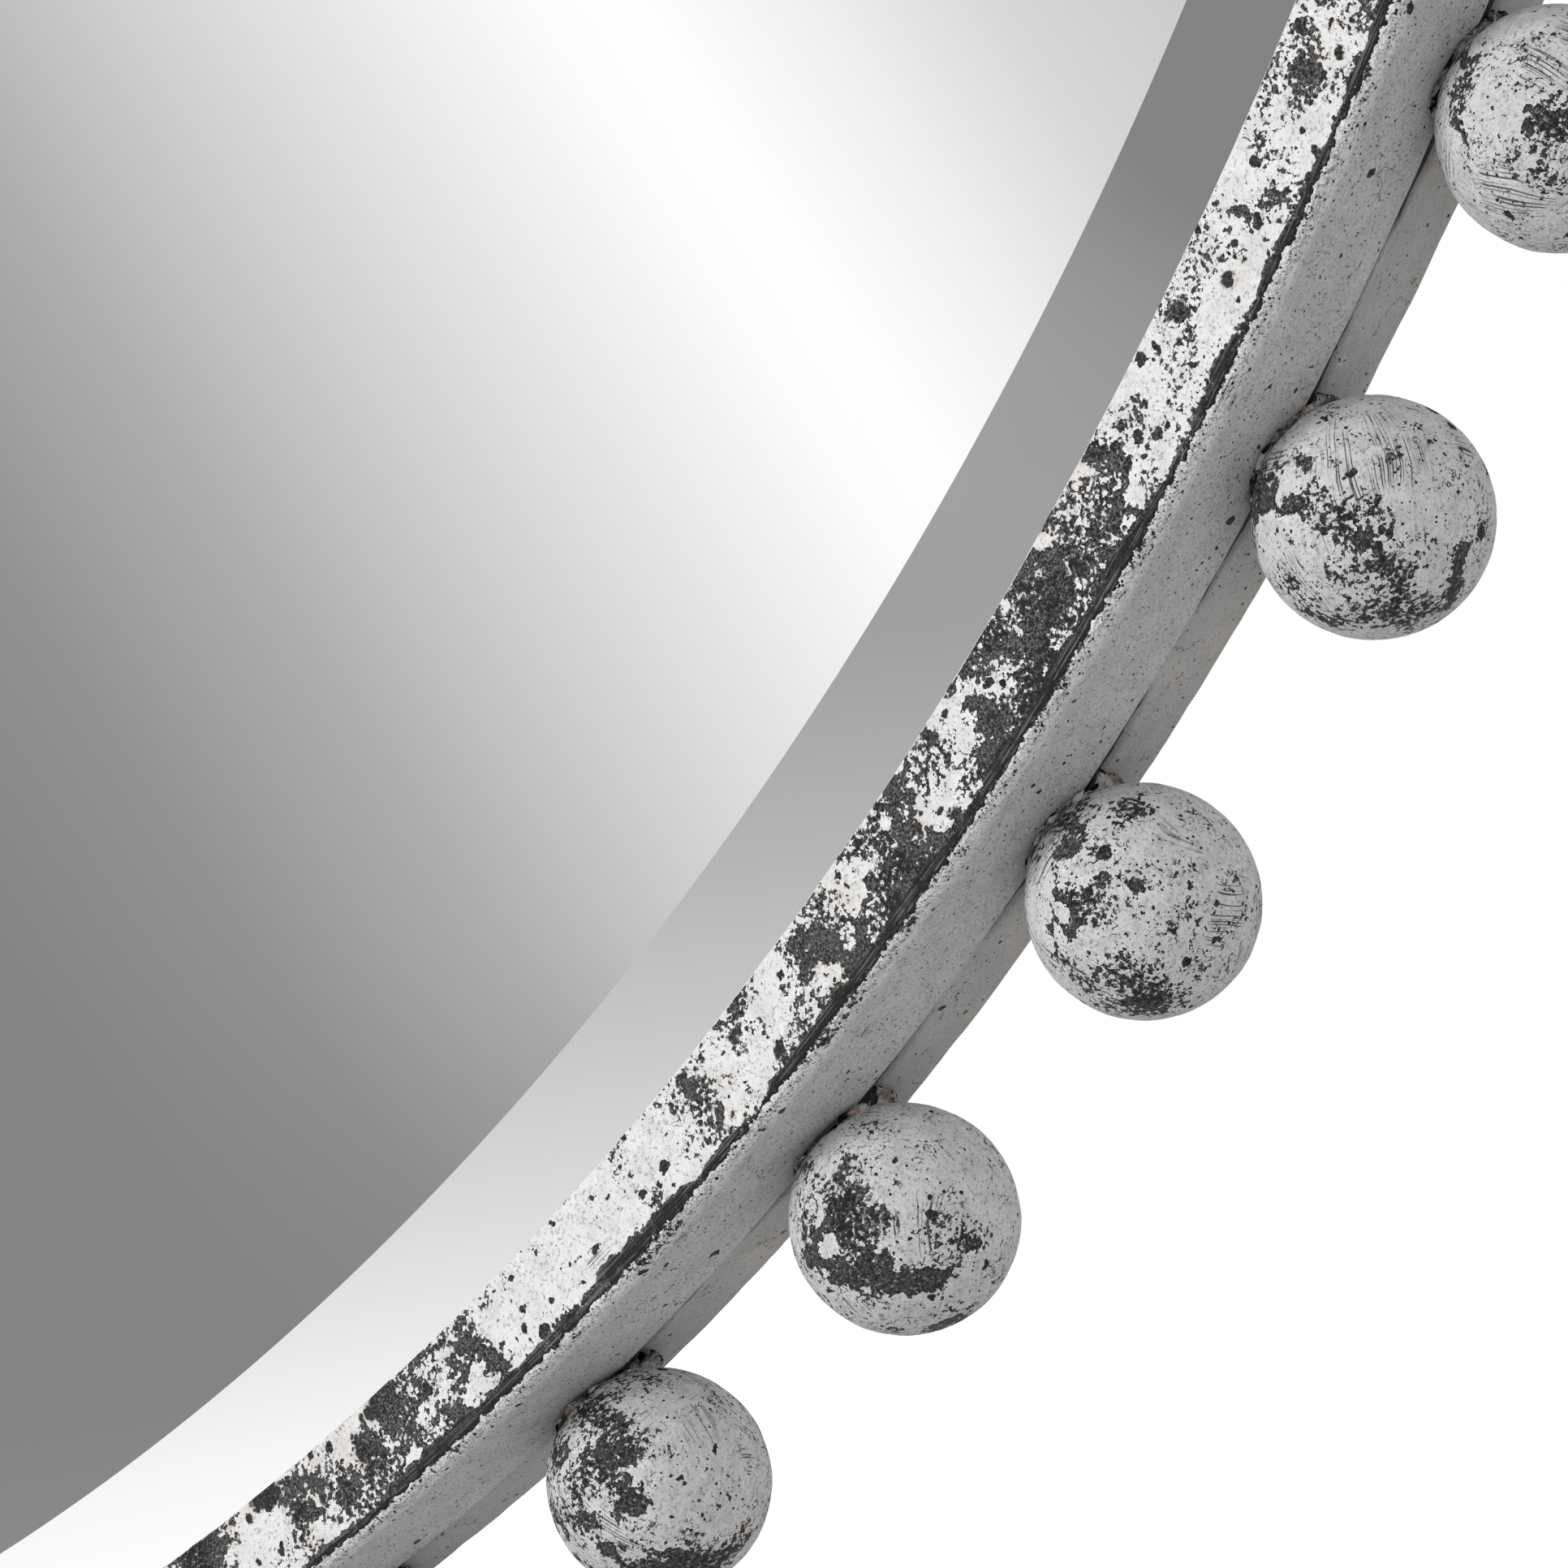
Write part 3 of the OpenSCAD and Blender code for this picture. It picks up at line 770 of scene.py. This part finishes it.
def roundedSection(corners, spacing):
    # Each corner is (radius, y, rounding), in turn anticlockwise. Long sides are cut to the spacing.
    outline = []
    arcSteps = 5
    for index, (radius, y, rounding) in enumerate(corners):
        here = Vector((radius, y))
        before = Vector(corners[index - 1][:2]) - here
        after = Vector(corners[(index + 1) % len(corners)][:2]) - here
        if rounding == 0:
            outline.append(here)
            continue
        start = here + before.normalized() * rounding
        end = here + after.normalized() * rounding
        centre = start + after.normalized() * rounding
        for step in range(arcSteps + 1):
            turn = math.radians(90 * step / arcSteps)
            outline.append(centre + (start - centre) * math.cos(turn) + (end - centre) * math.sin(turn))
    section = []
    for first, second in zip(outline, outline[1:] + outline[:1]):
        pieces = max(1, round((second - first).length / spacing))
        section += [first.lerp(second, part / pieces) for part in range(pieces)]
    return section


def sectionCurve(name, corners, spacing, pathRadius):
    points = roundedSection(corners, spacing)
    curve = bpy.data.curves.new(name, "CURVE")
    curve.dimensions = "3D"
    spline = curve.splines.new("POLY")
    spline.points.add(len(points) - 1)
    for point, place in zip(spline.points, points):
        point.co = (place.x - pathRadius, place.y, 0.0, 1.0)
    spline.use_cyclic_u = True
    return newObject(name, curve)


def buildForgedRing():
    takes = {
        "Geometry": "Geometry", "section": "Object", "material": "Material", "pathRadius": 0.43,
        "steps": 1800, "maskRadius": 0.43, "maskFace": -0.03, "seamY": -0.016, "waveHeight": 0.0003,
        "waveLength": 0.05, "dentHeight": 0.0002, "dentLength": 0.008, "grainHeight": 0.0001,
        "grainLength": 0.002, "fillHeight": 0.0, "fillDepth": 0.004,
    }
    tree, given, result = newGroup("forgedRing", "GeometryNodeTree", takes, ["Geometry"])
    section = geometryNode(tree, "ObjectInfo", "Geometry", Object=given["section"])
    circle = geometryNode(tree, "CurvePrimitiveCircle", Resolution=given["steps"], Radius=given["pathRadius"])
    swept = geometryNode(tree, "CurveToMesh", **{"Curve": circle, "Profile Curve": section})
    stood = geometryNode(tree, "Transform", Geometry=swept, Rotation=(math.pi / 2, 0.0, 0.0))
    position = geometryNode(tree, "InputPosition")
    x, y, z = split(position)
    onSide = fade(calc("SQRT", x * x + z * z), given["maskRadius"], given["maskRadius"] + 0.5 * mm)

    # Filler that closes the seam here and there between the balls.
    filled = seamFiller(position, calc("ARCTAN2", x, z), fillerLength)
    filled = filled * fade(y - given["seamY"], given["fillDepth"], 0.0) * onSide
    outward = vectorCalc("NORMALIZE", combine(x, 0.0, z))
    packed = moved(tree, stood, outward, filled * given["fillHeight"])

    # Hammer marks and grain, inwards only, on the faces that show.
    shown = larger(onSide, fade(y, given["maskFace"] + 0.4 * mm, given["maskFace"]))
    inward = relief(position, given, ("wave", "dent", "grain")) * shown * -1.0
    hammered = moved(tree, packed, geometryNode(tree, "InputNormal"), inward)
    solid = geometryNode(tree, "RealizeInstances", Geometry=hammered)
    feed(result["Geometry"], geometryNode(tree, "SetMaterial", Geometry=solid, Material=given["material"]))
    return tree


forgedRing = buildForgedRing()


def forgeRing(name, corners, size, radius, **values):
    section = sectionCurve(name + "Section", corners, size["spacing"], radius)
    mesh = bakeTree(name, forgedRing, dict(size, section=section, pathRadius=radius, seamY=seamY, **values))
    bpy.data.objects.remove(section)
    return mesh


def makeFrontRing(size):
    faceRadius = frameRadius - size["faceWidth"]
    wallRadius = frameRadius - size["wall"]
    lipY = faceY + size["lip"]
    corners = [
        (faceRadius, faceY, size["edge"]), (frameRadius, faceY, size["corner"]),
        (frameRadius, seamY, size["edge"]), (wallRadius, seamY, 0),
        (wallRadius, lipY, 0), (faceRadius, lipY, 0),
    ]
    mesh = forgeRing("frontRing", corners, size, frameRadius, maskRadius=wallRadius + size["sideMask"],
                     maskFace=faceY + size["faceMask"], material=chalkyWhiteIron)
    return finishPiece("frontRing", mesh, "mirror", "chalky_white_iron", "front_ring")


rearHoopSize = {
    "bar": 3.0 * mm, "edge": 0.6 * mm, "spacing": 0.85 * mm, "steps": 1900, "sideMask": 1.2 * mm,
    "faceMask": 5 * mm, "waveHeight": 0.4 * mm, "waveLength": 30 * mm, "dentHeight": 0.3 * mm,
    "dentLength": 6 * mm, "grainHeight": 0.12 * mm, "grainLength": 1.8 * mm, "fillHeight": 1.35 * mm,
    "fillDepth": 4.5 * mm,
}


def makeRearHoop(size):
    inner = hoopRadius - size["bar"]
    corners = [
        (inner, seamY, 0), (hoopRadius, seamY, 0), (hoopRadius, hoopBackY, size["edge"]),
        (inner, hoopBackY, size["edge"]),
    ]
    mesh = forgeRing("rearHoop", corners, size, hoopRadius, maskRadius=hoopRadius - size["sideMask"],
                     maskFace=seamY - size["faceMask"], material=chalkyGreyIron)
    return finishPiece("rearHoop", mesh, "mirror", "chalky_grey_iron", "rear_hoop")


frontRing = makeFrontRing(frontRingSize)
rearHoop = makeRearHoop(rearHoopSize)
print("rings:", len(frontRing.data.polygons), "and", len(rearHoop.data.polygons), "faces")


# Balls, each with its lumpy weld against the hoop. The gaps keep both just clear of the rings.
ballSize = {
    "fineness": 6, "smallest": 0.985, "dentHeight": 0.30 * mm, "dentLength": 5.5 * mm,
    "grainHeight": 0.10 * mm, "grainLength": 1.7 * mm, "undersize": 0.02 * mm, "ringGap": 0.03 * mm,
    "hoopGap": 0.02 * mm,
}
weldSize = {
    "foot": 7.0 * mm, "waist": 5.7 * mm, "top": 6.2 * mm, "height": 1.7 * mm, "sides": 64, "sunk": 0.2 * mm,
    "lump": 0.4 * mm, "lumpLength": 2.2 * mm, "bead": 0.8 * mm, "beadLength": 1.6 * mm,
    "overFrom": 0.2 * mm, "overTo": 1.8 * mm,
}


def ballSpots(node):
    # The seat of each ball in a CAD node, from the mean way round of its corners.
    sums = {}
    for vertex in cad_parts[node].data.vertices:
        turn = math.degrees(math.atan2(vertex.co.x, vertex.co.z)) % 360
        total, count = sums.get(turn // ballStep, (0.0, 0))
        sums[turn // ballStep] = (total + turn, count + 1)
    turns = [math.radians(total / count) for total, count in sums.values()]
    return [Vector((hoopRadius * math.sin(turn), ballY, hoopRadius * math.cos(turn))) for turn in turns]


def makeWeldShape(size):
    # A concave collar that stands on the hoop (z = 0) and climbs the ball.
    profile = []
    levels = 8
    for level in range(levels + 1):
        part = level / levels
        bow = math.sin(math.pi * part) * (size["foot"] - size["waist"]) * 0.75
        radius = size["foot"] + (size["top"] - size["foot"]) * part - bow
        profile.append((radius, -size["sunk"] + (size["height"] + 2 * size["sunk"]) * part))
    mesh = lathe("weldShape", profile, size["sides"],
                 lambda radius, z, turn: (radius * math.cos(turn), radius * math.sin(turn), z), way=-1)
    return newObject("weldShape", mesh)


def buildWeldedBalls():
    takes = {
        "Geometry": "Geometry", "weld": "Object", "ballMaterial": "Material", "weldMaterial": "Material",
        "radius": 0.0125, "fineness": 5, "smallest": 0.98, "seed": 3, "dentHeight": 0.0002,
        "dentLength": 0.005, "grainHeight": 0.0001, "grainLength": 0.002, "lump": 0.0005,
        "lumpLength": 0.0022, "bead": 0.0008, "beadLength": 0.0016, "overFrom": 0.0002, "overTo": 0.0018,
        "frameRadius": 0.4335, "hoopRadius": 0.432, "seamY": -0.016,
    }
    tree, given, result = newGroup("weldedBalls", "GeometryNodeTree", takes, ["Geometry"])
    position = geometryNode(tree, "InputPosition")
    normal = geometryNode(tree, "InputNormal")
    x, y, z = split(position)
    flat = combine(x, 0.0, z)
    outward = vectorCalc("NORMALIZE", flat)
    facing = tree.nodes.new("FunctionNodeAlignRotationToVector")
    feed(facing.inputs["Vector"], outward)
    facing = Wire(facing.outputs[0])

    # Each ball is a little narrower one way or another, and dented.
    shape = geometryNode(tree, "MeshIcoSphere", Radius=given["radius"], Subdivisions=given["fineness"])
    stretch = tree.nodes.new("FunctionNodeRandomValue")
    stretch.data_type = "FLOAT_VECTOR"
    feed(stretch.inputs[0], combine(given["smallest"], given["smallest"], 1.0))
    feed(stretch.inputs[1], (1.0, 1.0, 1.0))
    feed(stretch.inputs["Seed"], given["seed"])
    raised = moved(tree, given["Geometry"], outward, given["radius"])
    spheres = geometryNode(tree, "InstanceOnPoints", Points=raised, Instance=shape, Rotation=facing,
                           Scale=Wire(stretch.outputs[0]))
    balls = geometryNode(tree, "RealizeInstances", Geometry=spheres)
    dented = moved(tree, balls, normal, relief(position, given, ("dent", "grain")) * -1.0)

    # The weld is pushed out to a wavy bead where it meets the hoop or, in front of the seam, the ring.
    weld = geometryNode(tree, "ObjectInfo", "Geometry", Object=given["weld"])
    collars = geometryNode(tree, "InstanceOnPoints", Points=given["Geometry"], Instance=weld, Rotation=facing)
    collars = geometryNode(tree, "RealizeInstances", Geometry=collars)
    lumps = noise(divided(position, given["lumpLength"]), 1.0, 3.0, 0.6)
    lumpy = moved(tree, collars, normal, (lumps - 0.45) * (given["lump"] * 3.0))
    bead = fade(noise(divided(position, given["beadLength"]), 1.0, 2.0), 0.40, 0.66) * given["bead"]
    overRing = fade(y, given["seamY"] + given["overTo"], given["seamY"] + given["overFrom"])
    bottom = mixValue(overRing, given["hoopRadius"], given["frameRadius"]) + bead
    radius = vectorCalc("LENGTH", flat)
    beaded = moved(tree, lumpy, outward, larger(bottom - radius, 0.0))

    both = tree.nodes.new("GeometryNodeJoinGeometry")
    for geometry, material in ((beaded, "weldMaterial"), (dented, "ballMaterial")):
        painted = geometryNode(tree, "SetMaterial", Geometry=geometry, Material=given[material])
        feed(both.inputs[0], painted)

    # Nothing runs into the rings: what would is pushed out to their surface.
    inFront = calc("LESS_THAN", y, given["seamY"])
    least = mixValue(inFront, given["hoopRadius"], given["frameRadius"])
    clear = moved(tree, Wire(both.outputs[0]), outward, larger(least - radius, 0.0))
    feed(result["Geometry"], geometryNode(tree, "RealizeInstances", Geometry=clear))
    return tree


def makeBalls(size, seatSize):
    tree = buildWeldedBalls()
    weld = makeWeldShape(seatSize)
    values = dict(size, **seatSize)
    values.update(weld=weld, radius=ballRadius - size["undersize"], frameRadius=frameRadius + size["ringGap"],
                  hoopRadius=hoopRadius + size["hoopGap"], seamY=seamY, ballMaterial=chalkyBallIron,
                  weldMaterial=rustyWeld)
    made = []
    for hour in range(12):
        start, end = str(hour or 12), str(hour + 1)
        node = "balls_" + start + "_to_" + end
        name = "balls" + start + "to" + end
        points = bpy.data.meshes.new(name + "Spots")
        points.from_pydata(ballSpots(node), [], [])
        mesh = bakeTree(name, tree, dict(values, seed=int(start)), points)
        made.append(finishPiece(name, mesh, "mirror", "chalky_ball_iron", node))
    bpy.data.objects.remove(weld)
    return made


ballPieces = makeBalls(ballSize, weldSize)
print("balls:", len(ballPieces), "pieces of", len(ballPieces[0].data.polygons), "faces")


# The glass: flat, with a ground bevel, turned from its section.
glassSize = {"bevel": 19.0 * mm, "drop": 2.1 * mm, "steps": 1440, "chamfer": 0.15 * mm, "sharpAngle": 3}


def makeGlass(size):
    chamfer = size["chamfer"]
    edgeY = glassFrontY + size["drop"]
    profile = [
        (glassRadius - size["bevel"], glassFrontY), (glassRadius - chamfer, edgeY),
        (glassRadius, edgeY + chamfer), (glassRadius, glassBackY - chamfer),
        (glassRadius - chamfer, glassBackY),
    ]
    mesh = lathe("mirrorGlass", profile, size["steps"],
                 lambda radius, y, turn: (radius * math.cos(turn), y, radius * math.sin(turn)))
    mesh.shade_smooth()
    mesh.set_sharp_from_angle(angle=math.radians(size["sharpAngle"]))
    mesh.materials.append(silver)
    return finishPiece("mirrorGlass", mesh, "mirror", "silvered_glass", "mirror_glass")


mirrorGlass = makeGlass(glassSize)
print("glass:", len(mirrorGlass.data.polygons), "faces")


# Board and hardware behind the glass: the CAD solids with their edges broken. Faces over flatArea stay flat.
softSize = {
    "weldGap": 0.001 * mm, "mergeAngle": 0.5, "bevelAngle": 40, "sharpAngle": 38, "segments": 2,
    "flatArea": 40 * mm * mm,
}
ringBodies = {"left_hanger_ring": "left_ring", "right_hanger_ring": "right_ring"}
bumpers = ["bumper_upper_right", "bumper_upper_left", "bumper_lower_left", "bumper_lower_right"]
softPieces = [
    ("black_board", blackBoard, 0.5 * mm, ["backing_board"]),
    ("zinc_steel", zincSteel, 0.25 * mm, ["retaining_clips"]),
    ("nickel_steel", nickelSteel, 0.2 * mm, ["left_hanger_strap", "right_hanger_strap"]),
    ("nickel_steel", nickelSteel, 0.1 * mm, ["left_hanger_ring", "right_hanger_ring"]),
    ("screw_steel", screwSteel, 0.06 * mm, ["hanger_screws", "clip_screws", "bumper_screws"]),
    ("zinc_steel", zincSteel, 0.12 * mm, ["bumper_washers"]),
    ("black_rubber", blackRubber, 0.6 * mm, bumpers),
]


def softened(node, slot, material, bevel):
    first, *others = node.split("_")
    name = first + "".join(other.title() for other in others)
    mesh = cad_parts[node].data.copy()
    shape = bmesh.new()
    shape.from_mesh(mesh)
    bmesh.ops.remove_doubles(shape, verts=shape.verts, dist=softSize["weldGap"])
    flat = math.radians(softSize["mergeAngle"])
    bmesh.ops.dissolve_limit(shape, angle_limit=flat, verts=shape.verts, edges=shape.edges)
    shape.to_mesh(mesh)
    shape.free()
    mesh.materials.clear()
    mesh.materials.append(material)
    mesh.shade_smooth()
    holder = newObject(name + "Holder", mesh)
    edge = holder.modifiers.new("edge", "BEVEL")
    edge.width = bevel
    edge.segments = softSize["segments"]
    edge.limit_method = "ANGLE"
    edge.angle_limit = math.radians(softSize["bevelAngle"])
    finished = asMesh(holder)
    finished.name = name
    finished.set_sharp_from_angle(angle=math.radians(softSize["sharpAngle"]))
    for face in finished.polygons:
        face.use_smooth = face.area < softSize["flatArea"]
    bpy.data.objects.remove(holder)
    return finishPiece(name, finished, ringBodies.get(node, "mirror"), slot, node)


for slot, material, bevel, nodes in softPieces:
    for node in nodes:
        softened(node, slot, material, bevel)

# The foam sheet can't be seen, so it keeps its CAD mesh.
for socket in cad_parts["foam_sheet"].material_slots:
    socket.material = greyFoam
print("back: board, clips, hangers and bumpers")


# Floor, light and camera.
floorLook = {"height": -0.62, "size": 5.0, "colour": 0.66, "whiteToCamera": 0.86}


def makeFloor(look):
    half = look["size"] / 2
    mesh = bpy.data.meshes.new("floor")
    corners = [(-half, -half), (half, -half), (half, half), (-half, half)]
    mesh.from_pydata([(x, y, look["height"]) for x, y in corners], [], [(0, 1, 2, 3)])
    floor = newObject("floor", mesh)
    floor.visible_glossy = False
    material, shader, position = startMaterial("paleFloor")
    feed(shader["Base Color"], grey(look["colour"]))
    feed(shader["Roughness"], 0.9)
    feed(shader["Specular IOR Level"], 0.1)
    feed(shader["Emission Color"], grey(1.0))
    seen = nodeFor("LightPath", [position]).outputs["Is Camera Ray"]
    feed(shader["Emission Strength"], Wire(seen) * look["whiteToCamera"])
    mesh.materials.append(material)


# The room that the glass mirrors. Angles are in degrees, and each stop is (angle, brightness).
roomLook = {
    "light": 0.47, "lift": 0.5, "wall": 0.239, "slant": 0.67,
    "band": [(-50.0, 0.239), (-48.1, 0.239), (-46.2, 0.298), (-44.3, 0.445), (-42.0, 0.73), (-39.6, 1.02),
             (-38.9, 1.04), (-37.7, 0.92), (-36.3, 0.72), (-34.4, 0.59), (-32.0, 0.40), (-28.5, 0.239)],
    "low": [(-80.0, 0.34), (-48.0, 0.52), (-26.0, 1.05), (-14.0, 1.05), (-13.1, 0.98), (-12.4, 0.87),
            (-11.5, 0.745), (-10.3, 0.61), (-8.9, 0.486), (-7.2, 0.375), (-5.4, 0.294), (-3.5, 0.239)],
    "fadeFrom": -7.5, "fadeTo": -3.0, "turnPull": 0.18, "turnMiddle": -28.0, "turnEnd": -60.0,
}


def brightnessRamp(value, stops):
    low, high = stops[0][0], stops[-1][0]
    node = nodeFor("ValToRGB", [value])
    marks = node.color_ramp.elements
    while len(marks) < len(stops):
        marks.new(0.5)
    for mark, (angle, brightness) in zip(marks, stops):
        mark.position = (angle - low) / (high - low)
        mark.color = grey(brightness)
    feed(node.inputs[0], (value - low) / (high - low))
    return Wire(node.outputs["Color"])


def makeRoom(look):
    world = bpy.data.worlds.new("studio")
    scene.world = world
    world.use_nodes = True
    tree = world.node_tree
    tree.nodes.clear()
    x, y, z = split(Wire(tree.nodes.new("ShaderNodeTexCoord").outputs["Generated"]))
    turn = calc("DEGREES", calc("ARCTAN2", x, y * -1.0))
    rise = calc("DEGREES", calc("ARCSINE", z))
    band = brightnessRamp(rise * look["slant"] + turn, look["band"])
    bandOnly = (band - look["wall"]) * fade(rise, look["fadeFrom"], look["fadeTo"])
    nearTurn = calc("MINIMUM", larger(turn, look["turnEnd"]), 0.0)
    tilted = (nearTurn - look["turnMiddle"]) * look["turnPull"]
    room = brightnessRamp(rise - tilted, look["low"]) + bandOnly
    # The light on the paint is even, a little stronger from above; only the glass and gloss see the room.
    even = (z * look["lift"] + 1.0) * look["light"]
    ray = tree.nodes.new("ShaderNodeLightPath").outputs
    light = mixValue(Wire(ray["Is Glossy Ray"]), even, room)
    background = tree.nodes.new("ShaderNodeBackground")
    feed(background.inputs["Color"], mixValue(Wire(ray["Is Camera Ray"]), light, 1.0))
    output = tree.nodes.new("ShaderNodeOutputWorld")
    tree.links.new(background.outputs[0], output.inputs["Surface"])


lampLook = {
    "key": {"place": (-1.35, -2.46, 0.24), "size": 1.3, "power": 56.0},
    "fill": {"place": (2.0, -1.6, 0.6), "size": 1.6, "power": 16.0},
    "back": {"place": (0.6, 2.4, 1.2), "size": 1.6, "power": 8.0},
}


def makeLamps(look):
    for name, lamp in look.items():
        data = bpy.data.lights.new(name, "AREA")
        data.size = lamp["size"]
        data.energy = lamp["power"]
        light = newObject(name, data)
        light.location = lamp["place"]
        light.visible_glossy = False
        light.rotation_euler = (-light.location).to_track_quat("-Z", "Y").to_euler()


cameraLook = {
    "place": (0.83886, -0.65543, -0.23914), "turn": 40.18, "tilt": -2.07, "roll": 0.37, "lens": 181.5,
}


def makeCamera(look):
    data = bpy.data.cameras.new("camera")
    data.lens = look["lens"]
    data.sensor_width = 36.0
    data.clip_start = 0.05
    camera = newObject("camera", data)
    turned = Matrix.Rotation(math.radians(look["turn"]), 4, "Z")
    tilted = Matrix.Rotation(math.radians(90 + look["tilt"]), 4, "X")
    rolled = Matrix.Rotation(math.radians(look["roll"]), 4, "Z")
    camera.matrix_world = Matrix.Translation(look["place"]) @ turned @ tilted @ rolled
    scene.camera = camera


makeFloor(floorLook)
makeRoom(roomLook)
makeLamps(lampLook)
makeCamera(cameraLook)
scene.view_settings.view_transform = "Standard"
print("floor, room, 3 lamps and camera")
